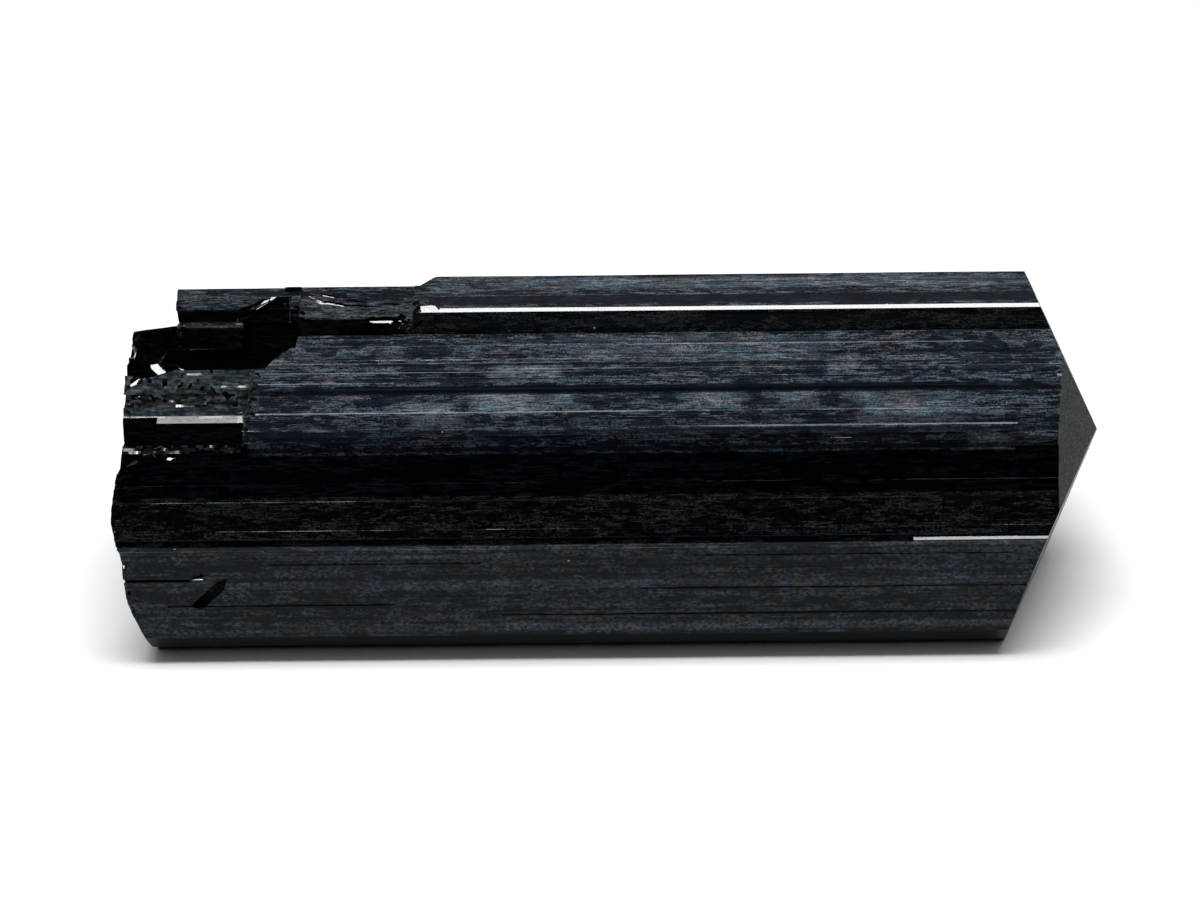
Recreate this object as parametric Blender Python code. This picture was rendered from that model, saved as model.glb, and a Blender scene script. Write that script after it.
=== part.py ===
"""Tourmaline crystal: one striated prism with a three-faced point and a broken end.

Metres, +Z up. The crystal lies on one of its wide prism faces, with its length along X and
its point at +X. Sizes are in millimetres. A place on the cross-section is (out, up): "out" is
the distance from the crystal's axis towards its front face, and "up" runs along that face,
square to the axis. The section is turned by SECTION_TURN, so that a wide face is level below.
"""
import math
import random

import bmesh
import bpy
from mathutils import Matrix, Vector

MM = 0.001

# Whole crystal
NAME = "tourmaline_crystal"
POINT_X = 29.05            # where the three end faces meet
BROKEN_X = -28.93          # the furthest reach of the broken end
AXIS_HEIGHT = 8.8          # axis above the face that it rests on
AXIS_X = -0.06             # section origin from the middle of the length
AXIS_Y = 0.45              # axis from the middle of the width
SECTION_TURN = math.radians(30.0)
SEED = 7

# Prism faces: distance from the axis to a wide face, and to the narrow faces on the corners
WIDE_FACE = 8.8
CORNER_FACE = 10.2
CORNER_TIP = 11.4
TOP_FACE = 9.25

# Point: slope of an end face against the section (length lost for each mm away from the axis)
END_SLOPE = 0.517
SMALL_END_SLOPE = 2 * END_SLOPE
SMALL_END_X = {0: 33.55, 120: 34.9, 240: 35.3}   # where each small face would meet the axis

# Ribs that run the length of the faces
RIB_DEPTH = 0.09
GROOVE_DEPTH = 0.16

# Broken end: levels of the ledges that its columns left standing
TOP_STEP = 8.68            # top face, lowered over the broken stretch
TOP_STEP_X = -10.5
SHELF_OUT = 6.3            # wall of the upper shelf
SHELF_X = -25.45           # left end of the shelf
SHELF_BREAK_X = -21.7      # where the shelf's ribbed wall breaks off
RECESS_OUT = 5.2           # bottom of the deep recess below the shelf
RECESS_UP = (3.78, 4.95)
PLATE_X = -18.2            # where the front plate starts
BLOCK_OUT = 7.35           # block in front, set back from the front plate
BLOCK_X = -21.4
STUMP_UP = 6.35            # what is left standing beyond the shelf
STUMP_OUT = 4.6


def clear_scene():
    for old in list(bpy.data.objects):
        bpy.data.objects.remove(old, do_unlink=True)


def collection(name):
    made = bpy.data.collections.new(name)
    bpy.context.scene.collection.children.link(made)
    return made


def section_frame():
    """Matrix from (up, out, along) in mm to world metres."""
    turn, mm = SECTION_TURN, MM
    up = Vector((0, math.sin(turn), math.cos(turn)))
    out = Vector((0, -math.cos(turn), math.sin(turn)))
    along = Vector((1, 0, 0))
    frame = Matrix.Identity(4)
    for column, axis in enumerate((up, out, along)):
        for row in range(3):
            frame[row][column] = axis[row] * mm
    frame.translation = Vector((AXIS_X, AXIS_Y, AXIS_HEIGHT)) * mm
    return frame


FRAME = section_frame()


def on_face(turn_deg, distance, next_turn_deg, next_distance):
    """(out, up) where two faces meet, each given by its direction and its distance."""
    a, b = math.radians(turn_deg), math.radians(next_turn_deg)
    spread = math.sin(b - a)
    out = (distance * math.sin(b) - next_distance * math.sin(a)) / spread
    up = (next_distance * math.cos(a) - distance * math.cos(b)) / spread
    return out, up


def ribs(start, end, count, depth, dice):
    """Points of a ribbed face from start up to end: uneven V grooves between flat ribs."""
    start, end = Vector(start), Vector(end)
    run = end - start
    outward = Vector((-run.y, run.x)).normalized()
    widths = [dice.uniform(0.5, 1.6) for _ in range(count)]
    points, done = [start], 0.0
    for width in widths[:-1]:
        done += width / sum(widths)
        middle = start + run * done
        half = run.normalized() * dice.uniform(0.06, 0.14)
        deep = outward * depth * dice.uniform(0.4, 1.3)
        points += [middle - half, middle - deep, middle + half]
    return points


def front_steps():
    """Front face from the upper bevel down to the long ridge, as (out, up)."""
    return [
        (6.75, 7.28), (6.93, 6.97),                                   # bevel
        (6.98, 5.72), (7.02, 5.58), (8.02, 5.64),                     # wall, groove and plate edge
        (8.05, 4.72), (8.13, 4.62), (8.14, 4.08), (8.23, 3.98),
        (8.25, 3.45), (8.35, 3.32), (8.36, 2.50), (8.24, 2.40),
        (8.26, 2.20), (8.41, 2.10), (8.44, 1.20), (8.51, 1.08),
        (8.53, 0.30), (8.60, 0.18), (8.63, -0.75),                    # furthest bulge
        (8.51, -2.76), (8.59, -2.88), (8.54, -3.72), (8.62, -3.86),
        (8.50, -5.32), (8.56, -5.46), (8.54, -5.95), (8.40, -6.00),
        (8.53, -6.24), (8.70, -6.33), (8.76, -6.52),                  # long ridge
    ]


def section_outline():
    """Whole section, clockwise from the back edge of the top face."""
    dice = random.Random(SEED)
    top_back = on_face(90, TOP_FACE, 120, WIDE_FACE)
    back_top = on_face(120, WIDE_FACE, 150, CORNER_FACE)
    tip_top = on_face(150, CORNER_FACE, 180, CORNER_TIP)
    tip_low = on_face(180, CORNER_TIP, 210, CORNER_FACE)
    foot_back = on_face(210, CORNER_FACE, 240, WIDE_FACE)
    top_front, ridge, heel = (4.4, TOP_FACE), (8.76, -6.52), (6.13, -11.6)
    toe, foot_front = (4.9, -12.22), (3.84, -12.38)
    wide_mid = Vector(back_top).lerp(Vector(top_back), 0.42)
    ledge = Vector((math.cos(math.radians(120)), math.sin(math.radians(120)))) * 0.55
    points = ribs(top_back, top_front, 5, RIB_DEPTH, dice)
    points += ribs(top_front, (6.75, 7.28), 4, RIB_DEPTH, dice)
    points += [Vector(place) for place in front_steps()][:-1]
    points += ribs(ridge, heel, 7, RIB_DEPTH, dice)
    points += [Vector(heel), Vector(toe)]
    points += ribs(foot_front, foot_back, 5, RIB_DEPTH, dice)
    points += ribs(foot_back, tip_low, 7, GROOVE_DEPTH, dice)
    points += ribs(tip_low, tip_top, 2, RIB_DEPTH, dice)
    points += ribs(tip_top, back_top, 7, GROOVE_DEPTH, dice)
    points += ribs(back_top, wide_mid, 5, GROOVE_DEPTH, dice)
    points += [wide_mid, wide_mid - ledge]
    points += ribs(wide_mid - ledge + Vector((0.35, 0.2)), top_back, 7, RIB_DEPTH, dice)[1:]
    return points


def extruded(name, outline, low, high, frame, target):
    """Mesh object: a flat outline carried from low to high along the frame's third axis."""
    curve = bpy.data.curves.new(name, "CURVE")
    curve.dimensions = "2D"
    curve.fill_mode = "BOTH"
    curve.extrude = (high - low) / 2
    spline = curve.splines.new("POLY")
    spline.points.add(len(outline) - 1)
    for point, (first, second) in zip(spline.points, outline):
        point.co = (first, second, 0, 1)
    spline.use_cyclic_u = True
    flat = bpy.data.objects.new(name + "_outline", curve)
    target.objects.link(flat)
    place = frame @ Matrix.Translation((0, 0, (low + high) / 2))
    graph = bpy.context.evaluated_depsgraph_get()
    mesh = bpy.data.meshes.new_from_object(flat.evaluated_get(graph))
    bpy.data.objects.remove(flat, do_unlink=True)
    solid = bmesh.new()
    solid.from_mesh(mesh)
    bmesh.ops.remove_doubles(solid, verts=solid.verts, dist=0.001)
    bmesh.ops.transform(solid, matrix=place, verts=solid.verts)
    bmesh.ops.recalc_face_normals(solid, faces=solid.faces)
    solid.to_mesh(mesh)
    solid.free()
    mesh.shade_flat()
    mesh.name = name
    made = bpy.data.objects.new(name, mesh)
    target.objects.link(made)
    return made


def as_cutter(cutter):
    cutter.hide_render = True
    cutter.display_type = "WIRE"
    return cutter


def along_cut(name, outline, low, high, cutters):
    """Takes away a column: an (out, up) outline carried along the crystal."""
    flipped = [(up, out) for out, up in outline]
    return as_cutter(extruded(name, flipped, low, high, FRAME, cutters))


def front_cut(name, outline, low, high, cutters):
    """Takes a layer off the front: an (along, up) outline carried outwards."""
    frame = FRAME @ Matrix(((0, 1, 0, 0), (0, 0, 1, 0), (1, 0, 0, 0), (0, 0, 0, 1)))
    return as_cutter(extruded(name, outline, low, high, frame, cutters))


def top_cut(name, outline, low, high, cutters):
    """Takes a layer off the front: an (along, out) outline carried upwards."""
    frame = FRAME @ Matrix(((0, 0, 1, 0), (0, 1, 0, 0), (1, 0, 0, 0), (0, 0, 0, 1)))
    return as_cutter(extruded(name, outline, low, high, frame, cutters))


def plane_cut(name, place, normal, cutters, size=90.0):
    """Takes away all that lies beyond a plane: place and normal are (out, up, along)."""
    facing = Vector((normal[1], normal[0], normal[2])).normalized()
    centre = Vector((place[1], place[0], place[2])) + facing * size / 2
    turned = facing.to_track_quat("Z", "Y").to_matrix().to_4x4()
    solid = bmesh.new()
    bmesh.ops.create_cube(solid, size=size, matrix=FRAME @ Matrix.Translation(centre) @ turned)
    bmesh.ops.recalc_face_normals(solid, faces=solid.faces)
    mesh = bpy.data.meshes.new(name)
    solid.to_mesh(mesh)
    solid.free()
    made = bpy.data.objects.new(name, mesh)
    cutters.objects.link(made)
    return as_cutter(made)


def cut_point(cutters):
    """Three large end faces that meet on the axis, and a small steep one on each edge."""
    for turn in (60, 180, 300):
        a = math.radians(turn)
        normal = (END_SLOPE * math.cos(a), END_SLOPE * math.sin(a), 1)
        plane_cut(f"end_face_{turn}", (0, 0, POINT_X), normal, cutters)
    for turn, at_axis in SMALL_END_X.items():
        a = math.radians(turn)
        normal = (SMALL_END_SLOPE * math.cos(a), SMALL_END_SLOPE * math.sin(a), 1)
        plane_cut(f"small_end_face_{turn}", (0, 0, at_axis), normal, cutters)


def cut_top_step(cutters):
    """Top face: strips of it are lost over the broken stretch, each to its own length."""
    far, up, back = BROKEN_X - 4, 12.0, -14.0
    strips = [(2.1, 14.0, TOP_STEP, TOP_STEP_X), (0.3, 2.1, TOP_STEP + 0.12, TOP_STEP_X - 0.2),
              (-1.2, 0.3, TOP_STEP - 0.1, TOP_STEP_X - 0.5), (back, -1.2, TOP_STEP + 0.02, TOP_STEP_X - 0.9)]
    for number, (low, high, level, end) in enumerate(strips):
        edge = [(end - 1.1, level), (end, TOP_FACE + 0.1), (end, up)]
        front_cut(f"top_step_{number}", [(far, level), *edge, (far, up)], low, high, cutters)
    front_cut("shelf_top", [(far, TOP_STEP - 0.06), (-19.3, TOP_STEP - 0.04), (-19.1, up), (far, up)],
              back, 14.0, cutters)


def cut_shelf(cutters):
    """Upper shelf: a ribbed wall to the left, a plain wall with a slanted break to the right."""
    far, out, up = BROKEN_X - 4, 14.0, 12.0
    top_cut("shelf_wall", [(far, SHELF_OUT), (-13.3, SHELF_OUT), (-12.9, 7.0), (-12.9, out), (far, out)],
            5.70, up, cutters)
    fracture = [(-14.5, 5.7), (-13.0, 5.7), (-12.2, 6.7), (-11.3, 7.6), (-11.0, 8.3), (-14.5, 8.3)]
    front_cut("shelf_fracture", fracture, SHELF_OUT + 0.05, out, cutters)
    low, high = RECESS_UP
    wall = [(6.28, 7.32), (5.9, 7.25), (5.9, 6.62), (6.15, 6.27), (6.4, 6.25), (6.4, 5.95),
            (6.5, 5.86), (6.5, high), (out, high), (out, 7.32)]
    along_cut("shelf_ribs", wall, far, SHELF_BREAK_X, cutters)
    along_cut("left_slope", [(4.7, 8.65), (6.34, 7.25), (out, 7.25), (out, 8.65)],
              far, PLATE_X - 0.2, cutters)
    along_cut("middle_slope", [(4.5, 8.85), (5.3, 7.95), (6.32, 6.66), (out, 6.66), (out, 8.85)],
              PLATE_X - 0.3, -11.9, cutters)
    front_cut("plate_corner", [(far, high), (PLATE_X - 0.2, high), (PLATE_X, 5.75), (far, 5.75)],
              6.5, out, cutters)
    front_cut("recess", [(far, low), (-20.15, low), (-19.7, 4.25), (-19.1, 4.68), (-18.4, 5.1), (PLATE_X, 5.72),
                         (-18.6, 6.6), (SHELF_BREAK_X + 0.2, 6.6), (SHELF_BREAK_X - 0.2, high), (far, high)],
              RECESS_OUT, out, cutters)


def cut_block(cutters):
    """Front block: a rough strip, a lumpy groove, a rib with a bevel, and loose bits below."""
    far, out = BROKEN_X - 4, 14.0
    strips = [(3.85, 2.40, -20.6, BLOCK_OUT), (2.42, 1.68, -20.7, BLOCK_OUT - 0.32),
              (1.70, 1.15, -21.0, BLOCK_OUT + 0.07)]
    for number, (top, bottom, end, level) in enumerate(strips):
        front_cut(f"block_strip_{number}", [(far, bottom), (end - 0.35, bottom), (end, top), (far, top)],
                  level, out, cutters)
    rib = [(BLOCK_OUT + 0.07, 1.18), (BLOCK_OUT + 0.32, 0.75), (BLOCK_OUT + 0.34, -0.5),
           (out, -0.54), (out, 1.18)]
    along_cut("block_rib", rib, far, BLOCK_X, cutters)
    front_cut("block_loose", [(far, -0.97), (BLOCK_X - 0.3, -0.97), (BLOCK_X, -0.49), (far, -0.49)],
              BLOCK_OUT + 0.6, out, cutters)
    front_cut("block_rib_end", [(far, -0.4), (-26.4, -0.4), (-26.4, 1.1), (far, 1.1)],
              BLOCK_OUT + 0.12, out, cutters)
    foot = [(far, -2.0), (-27.2, -1.8), (-25.6, -1.2), (-23.4, -1.5), (-22.3, -0.85), (far, -0.85)]
    front_cut("block_foot", foot, 8.15, out, cutters)


def cut_broken_end(cutters):
    """Ends of the shelf and of the stump behind it, and the flat breaks across the rest."""
    far, out, up = BROKEN_X - 4, 14.0, 14.0
    shelf_end = [(SHELF_X, 6.55), (SHELF_X - 0.3, 8.6), (SHELF_X - 0.35, up)]
    front_cut("above_stump", [(far, 6.1), (-28.3, 6.2), *shelf_end, (far, up)], -out, out, cutters)
    front_cut("before_stump", [(far, RECESS_UP[0]), (-27.0, 3.35), (SHELF_X + 0.1, RECESS_UP[0]),
                               (SHELF_X, STUMP_UP + 0.3), (far, STUMP_UP + 0.3)], STUMP_OUT, out, cutters)
    front_cut("stump_hollow", [(-28.15, 4.45), (-26.8, 4.45), (-26.75, 5.65), (-28.1, 5.65)],
              STUMP_OUT - 0.45, out, cutters)
    profile = [(far, 6.6), (-28.45, 6.3), (-28.65, 5.0), (-28.88, 4.2), (-28.8, 3.3), (-28.3, 3.2),
               (-28.42, 2.3), (-28.45, 0.9), (-28.33, -0.5), (-28.51, -1.8), (-28.76, -3.1),
               (BROKEN_X, -4.1), (BROKEN_X, -4.9), (-28.7, -6.2), (-28.4, -6.6), (-28.36, -9.5),
               (-28.12, -10.4), (-27.55, -11.75), (-27.2, -13), (far, -13)]
    front_cut("end_profile", profile, -out, out, cutters)
    front_cut("block_end", [(far, 3.95), (-28.4, 3.8), (-28.3, 3.1), (far, 3.1)], STUMP_OUT, out, cutters)
    breaks = [((-6, 3, -28.4), (-0.28, 0.10, -1)), ((8.6, -4.1, BROKEN_X), (0.9, 0.15, -1)),
              ((7.2, 3.8, -28.2), (0.5, 0.5, -1))]
    for number, (place, normal) in enumerate(breaks):
        plane_cut(f"break_{number}", place, normal, cutters)


def cut_back_stairs(cutters):
    """Stairs at the back of the broken end, where columns broke off one behind the other."""
    far, deep = BROKEN_X - 4, 16.0
    stairs = [(-27.7, [(-5.2, -deep), (-4.6, 3.4), (-3.4, 4.1), (-3.6, deep), (-deep, deep), (-deep, -deep)]),
              (-26.6, [(-7.6, -3.0), (-6.9, 1.1), (-6.3, deep), (-deep, deep), (-deep, -3.2)]),
              (-25.4, [(-5.6, 4.3), (-1.9, 6.1), (-1.2, deep), (-5.6, deep)]),
              (-24.5, [(-4.3, 6.9), (0.6, 7.5), (1.2, deep), (-4.3, deep)]),
              (-24.9, [(-9.3, -deep), (-8.8, 0.9), (-9.9, deep), (-deep, deep), (-deep, -deep)]),
              (-27.4, [(-6.6, -deep), (-5.6, -5.6), (-1.4, -6.9), (0.2, -deep)])]
    for number, (end, outline) in enumerate(stairs):
        along_cut(f"stair_{number}", outline, far, end, cutters)


def cut_scoops(cutters):
    """Shell-shaped hollows in the broken end: shallow caps of large balls."""
    scoops = [((1.5, -1.5), 9.0, 1.15), ((-3.4, -7.0), 6.5, 0.9), ((4.8, -7.4), 5.0, 0.7),
              ((-4.0, 2.4), 5.5, 1.9)]
    for number, ((out, up), radius, depth) in enumerate(scoops):
        along = BROKEN_X + depth - radius
        ball = bmesh.new()
        bmesh.ops.create_uvsphere(ball, u_segments=40, v_segments=20, radius=radius,
                                  matrix=FRAME @ Matrix.Translation((up, out, along)))
        bmesh.ops.recalc_face_normals(ball, faces=ball.faces)
        mesh = bpy.data.meshes.new(f"scoop_{number}")
        ball.to_mesh(mesh)
        ball.free()
        made = bpy.data.objects.new(mesh.name, mesh)
        cutters.objects.link(made)
        as_cutter(made)


def cut_chips(cutters):
    """Small chips, cracks and the gouge on the lower front face."""
    chipped = [(-22.0, 6.55), (-19.7, 8.2), (-19.6, 9.0), (-19.1, 9.0), (-19.0, 6.55)]
    front_cut("shelf_chip", chipped, 5.35, 9.0, cutters)
    top_cut("shelf_crack", [(-19.35, 7.2), (-19.2, 4.9), (-19.0, 7.2)], 6.0, 8.9, cutters)
    front_cut("gouge", [(-24.7, -9.75), (-23.1, -8.35), (-22.5, -8.1), (-22.7, -8.75), (-24.1, -9.9)],
              6.55, 9.5, cutters)
    front_cut("crack", [(-30, -8.32), (-24.6, -8.28), (-24.6, -8.14), (-30, -8.12)], 7.55, 9.5, cutters)
    step = [(8.40, -5.90), (8.37, -5.93), (8.36, -6.28), (8.66, -6.36), (9.2, -6.38), (9.2, -5.90)]
    along_cut("ridge_step", step, -32, 16.5, cutters)


def stone():
    """Black tourmaline: opaque, glassy, near black."""
    material = bpy.data.materials.new("black_tourmaline")
    material.use_nodes = True
    shader = material.node_tree.nodes["Principled BSDF"]
    shader.inputs["Base Color"].default_value = (0.006, 0.007, 0.009, 1)
    shader.inputs["Roughness"].default_value = 0.22
    shader.inputs["Metallic"].default_value = 0.0
    shader.inputs["IOR"].default_value = 1.63
    return material


def main():
    clear_scene()
    parts, cutters = collection(NAME), collection("crystal_cutters")
    outline = [(up, out) for out, up in section_outline()]
    crystal = extruded(NAME, outline, BROKEN_X - 1, POINT_X + 1, FRAME, parts)
    crystal.data.materials.append(stone())
    for cut in (cut_point, cut_top_step, cut_shelf, cut_block, cut_broken_end, cut_back_stairs,
                cut_scoops, cut_chips):
        cut(cutters)
    bites = crystal.modifiers.new("broken_and_faceted", "BOOLEAN")
    bites.operation = "DIFFERENCE"
    bites.operand_type = "COLLECTION"
    bites.collection = cutters
    bites.solver = "EXACT"


main()
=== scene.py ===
"""Dressed black tourmaline crystal: a finely striated prism, its natural point and its broken end.

Run as a script in Blender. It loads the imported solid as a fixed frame, works the crystal's fine
surface out with numpy around the same section, and sets the stage. Lengths inside the shape
functions are millimetres in the crystal's own section, (up, out, along): "out" points from the
axis to the front face, "up" runs along that face, and "along" points to the natural point.
"""
import math

import bmesh
import bpy
import numpy as np
from mathutils import Matrix, Quaternion, Vector


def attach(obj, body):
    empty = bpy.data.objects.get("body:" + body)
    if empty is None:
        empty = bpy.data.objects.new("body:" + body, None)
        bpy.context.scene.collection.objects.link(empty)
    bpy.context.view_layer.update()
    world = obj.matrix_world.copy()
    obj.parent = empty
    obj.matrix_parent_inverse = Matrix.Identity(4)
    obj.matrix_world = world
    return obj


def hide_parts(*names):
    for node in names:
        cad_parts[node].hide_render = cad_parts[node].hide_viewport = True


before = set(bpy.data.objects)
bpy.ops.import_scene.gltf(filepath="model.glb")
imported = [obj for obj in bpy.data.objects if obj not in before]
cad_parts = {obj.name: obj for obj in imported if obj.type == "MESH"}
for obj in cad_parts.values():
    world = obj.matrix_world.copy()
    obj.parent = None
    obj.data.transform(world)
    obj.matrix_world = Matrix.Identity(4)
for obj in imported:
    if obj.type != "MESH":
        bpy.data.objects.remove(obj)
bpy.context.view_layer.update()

bl_info = {
    "name": "Tourmaline Crystal",
    "version": (1, 0, 0),
    "blender": (4, 5, 0),
    "location": "View3D > Sidebar > Crystal",
    "description": "Builds a striated black tourmaline prism with a natural point and a broken end",
    "category": "Add Mesh",
}

MM = 0.001
UP, OUT, ALONG = 0, 1, 2               # order of the coordinates of a point in the section
SECTION_TURN = math.radians(30.0)      # the crystal rests turned about its length by this
PRISM_STATIONS = 96                    # cross-sections along the prism
FAR_OUT = 9.6                          # clear of the front face, in millimetres from the axis
PICTURE_WIDTH = 1200                   # pixels


def hex_colour(code):
    """sRGB hex to linear red, green, blue."""
    parts = [int(code[i:i + 2], 16) / 255 for i in (1, 3, 5)]
    return tuple(c / 12.92 if c <= 0.04045 else ((c + 0.055) / 1.055) ** 2.4 for c in parts)


def quantity(name, about, value, unit="NONE"):
    return bpy.props.FloatProperty(name=name, description=about, default=value, unit=unit, precision=5)


def length(name, about, millimetres):
    return quantity(name, about, millimetres * MM, "LENGTH")


def colour(name, about, code):
    return bpy.props.FloatVectorProperty(name=name, description=about, default=hex_colour(code),
                                         subtype="COLOR", size=3, min=0, max=1)


class CrystalSizes(bpy.types.PropertyGroup):
    point_x: length("Point", "Where the three end faces meet, along the crystal", 29.05)
    broken_x: length("Broken end", "Furthest reach of the broken end, along the crystal", -28.93)
    axis_x: length("Axis X", "Section origin from the middle of the length", -0.06)
    axis_y: length("Axis Y", "Crystal axis from the middle of the width", 0.45)
    axis_height: length("Axis height", "Crystal axis above the face that it rests on", 8.8)
    wide_face: length("Wide face", "Axis to a wide prism face", 8.8)
    corner_face: length("Corner face", "Axis to a narrow face beside a corner", 10.2)
    corner_tip: length("Corner tip", "Axis to the blunt back corner", 11.4)
    top_face: length("Top face", "Axis to the narrow face on top", 9.25)
    fine_rib: length("Fine ribs", "Mean width of the finest ribs", 0.30)
    end_slope: quantity("End slope", "Rise of an end face against the section", 0.517)
    seed: bpy.props.IntProperty(name="Seed", description="Draw of the ribs and of the break", default=11)


class CrystalFinish(bpy.types.PropertyGroup):
    body: colour("Body", "Deep body colour of the opaque stone", "#0a101b")
    haze: colour("Haze", "Fine etching on the front plate, warm grey", "#6b6769")
    cool: colour("Second haze", "The same etching where it is bluish", "#506976")
    dull: colour("Dull face", "Matt growth skin of the lower face", "#35404a")
    warm: colour("Second dull", "The same growth skin where it is browner", "#3f3e3b")
    point: colour("Point", "Etched skin of the end faces", "#3f4a45")
    fresh: colour("Fresh break", "Broken surface of the stone", "#1c1612")
    rubble: colour("Rubble", "Crumbled columns, pale with fine cracks", "#5c6468")


class StageSettings(bpy.types.PropertyGroup):
    floor: colour("Floor", "Pale table", "#f4f4f4")
    strip_long: length("Strip length", "Long side of the overhead lamp", 360)
    strip_wide: length("Strip width", "Short side of the overhead lamp", 130)
    strip_height: length("Strip height", "Overhead lamp above the table", 500)
    strip_power: quantity("Strip power", "Overhead lamp, watts", 2.7, "POWER")
    distance: length("Camera distance", "Camera to the crystal's axis", 120.9)
    elevation: quantity("Camera elevation", "Camera above the horizon", math.radians(30), "ROTATION")
    roll: quantity("Camera roll", "Turn of the camera about its view", 0.0095, "ROTATION")


# ---- shapes

def face_corner(turn, distance, next_turn, next_distance):
    """(out, up) where two faces meet, each given by its direction in degrees and its distance."""
    a, b = math.radians(turn), math.radians(next_turn)
    opening = math.sin(b - a)
    return ((distance * math.sin(b) - next_distance * math.sin(a)) / opening,
            (next_distance * math.cos(a) - distance * math.cos(b)) / opening)


# Growth steps from the top edge down the front, corner by corner as (out, up). Where a short riser
# leans back, its steep narrow face mirrors the lamp as a bright line.
TOP_STEPS = [(4.4, 9.25), (4.95, 8.80), (4.98, 8.75), (5.38, 8.42), (5.42, 8.35), (5.83, 8.03), (5.86, 7.98)]
FRONT_STEPS = [
    (6.83, 7.21), (6.96, 6.985), (6.98, 5.72), (7.02, 5.58),         # bevel over the dark wall, and groove
    (8.02, 5.64), (8.03, 5.40), (8.05, 5.37), (8.07, 5.03), (8.09, 4.99), (8.10, 4.70), (8.13, 4.65),
    (8.14, 4.23), (8.17, 4.18), (8.18, 4.04), (8.205, 4.00), (8.23, 3.69), (8.27, 3.63), (8.28, 3.50),
    (8.30, 3.47), (8.31, 3.20), (8.33, 3.17), (8.355, 2.92), (8.38, 2.88), (8.39, 2.56), (8.41, 2.53),
    (8.41, 2.47), (8.24, 2.38), (8.26, 2.20), (8.40, 2.11), (8.45, 1.24), (8.50, 1.17), (8.51, 0.90),
    (8.52, 0.88), (8.55, 0.27), (8.58, 0.23), (8.60, -0.40), (8.61, -0.42), (8.63, -0.75),
    (8.54, -2.80), (8.56, -2.81), (8.54, -3.76), (8.565, -3.80),     # dark bands below the bulge
    (8.50, -5.42), (8.52, -5.43), (8.50, -5.95), (8.40, -6.00), (8.53, -6.24),
    (8.66, -6.31), (8.69, -6.36), (8.73, -6.50), (8.76, -6.55),      # long ridge
]
HEEL = [(6.13, -11.6), (4.9, -12.22), (3.84, -12.38)]                # rounded lower edge of the front


def section_runs(sizes):
    """Faces round the section, clockwise from the back of the top: two corners, rib depth, riser width."""
    wide, corner = sizes.wide_face / MM, sizes.corner_face / MM
    tip, top = sizes.corner_tip / MM, sizes.top_face / MM
    top_back = face_corner(90, top, 120, wide)
    back_top = face_corner(120, wide, 150, corner)
    tip_top, tip_low = face_corner(150, corner, 180, tip), face_corner(180, tip, 210, corner)
    foot_back = face_corner(210, corner, 240, wide)
    middle = np.array(back_top) * 0.58 + np.array(top_back) * 0.42
    ledge = 0.55 * np.array([math.cos(math.radians(120)), math.sin(math.radians(120))])
    steps = TOP_STEPS + FRONT_STEPS
    depth = [0.008 if step[1] > 5.7 or 3.4 < step[1] < 4.3 else 0.018 for step in steps]
    front = [(a, b, rib, 0.05) for a, b, rib in zip(steps[:-1], steps[1:], depth)]
    return ([(top_back, (4.4, top), 0.05, 0.06)] + front
            + [(FRONT_STEPS[-1], HEEL[0], 0.025, 0.05), (HEEL[0], HEEL[1], 0.02, 0.04),
               (HEEL[1], HEEL[2], 0.02, 0.04), (HEEL[2], foot_back, 0.012, 0.05),
               (foot_back, tip_low, 0.09, 0.08), (tip_low, tip_top, 0.05, 0.08),
               (tip_top, back_top, 0.09, 0.08),
               (back_top, middle, 0.08, 0.08), (middle, middle - ledge, 0.0, 0.05),
               (middle - ledge, middle - ledge + (0.35, 0.2), 0.0, 0.05),
               (middle - ledge + (0.35, 0.2), top_back, 0.05, 0.08)])


def striated_outline(runs, pitch, dice):
    """Section points of the striated faces.

    Each face is cut into terraces of uneven width. Two points a riser apart part one terrace from
    the next, and all the points of a terrace share a level, so the outline steps in and out. The
    corners between two faces keep level 0, except on the front, where each has its own.
    Returns the points and outward directions as (n, 2), and the level number and depth of each.
    """
    points, outward, level, depths = [], [], [], [0.0]
    for start, end, depth, riser in runs:
        start, end = np.array(start, float), np.array(end, float)
        run = end - start
        reach = np.linalg.norm(run)
        normal = np.array([-run[1], run[0]]) / reach
        count = max(1, int(reach / pitch)) if depth else 1
        edges = np.cumsum(dice.uniform(0.35, 1.65, count))
        edges = edges[:-1] / edges[-1]
        half = riser / 2 / reach
        where = np.sort(np.concatenate([[0.0], edges - half, edges + half]))
        steps = np.repeat(np.arange(count), 2)[1:2 * count]
        loose = normal[0] > 0.6
        first = len(depths)
        at_corner = (steps == 0) | (steps == count - 1)
        numbers = first + steps if loose else np.where(at_corner, 0, first + steps - 1)
        depths += [depth] * (count if loose else max(0, count - 2))
        points.append(start + where[:, None] * run)
        outward.append(np.repeat(normal[None], len(where), 0))
        level.append(numbers)
    return np.concatenate(points), np.concatenate(outward), np.concatenate(level), np.array(depths)


def level_table(depths, along, dice):
    """Height of every terrace at every station: a few random plateaus along the length, each a
    sum of steps that switch on where the station passes a random place."""
    count = len(depths)
    height = dice.uniform(-1.0, 0.0, (count, 1)) * depths[:, None] * np.ones(len(along))
    for _ in range(7):
        place = dice.uniform(along[0], along[-1], (count, 1))
        jump = dice.uniform(-0.45, 0.45, (count, 1)) * depths[:, None] * (dice.random((count, 1)) < 0.6)
        height = height + jump * (along[None] > place)
    height[0] = 0.0
    return height


def grid_faces(rows, columns, closed=True):
    """Quads of a grid of rows by columns points, joined round if closed."""
    first = np.arange(rows - 1)[:, None] * columns
    here = np.arange(columns if closed else columns - 1)[None]
    then = (here + 1) % columns
    corners = [first + here, first + then, first + columns + then, first + columns + here]
    return np.stack(corners, -1).reshape(-1, 4)


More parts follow.
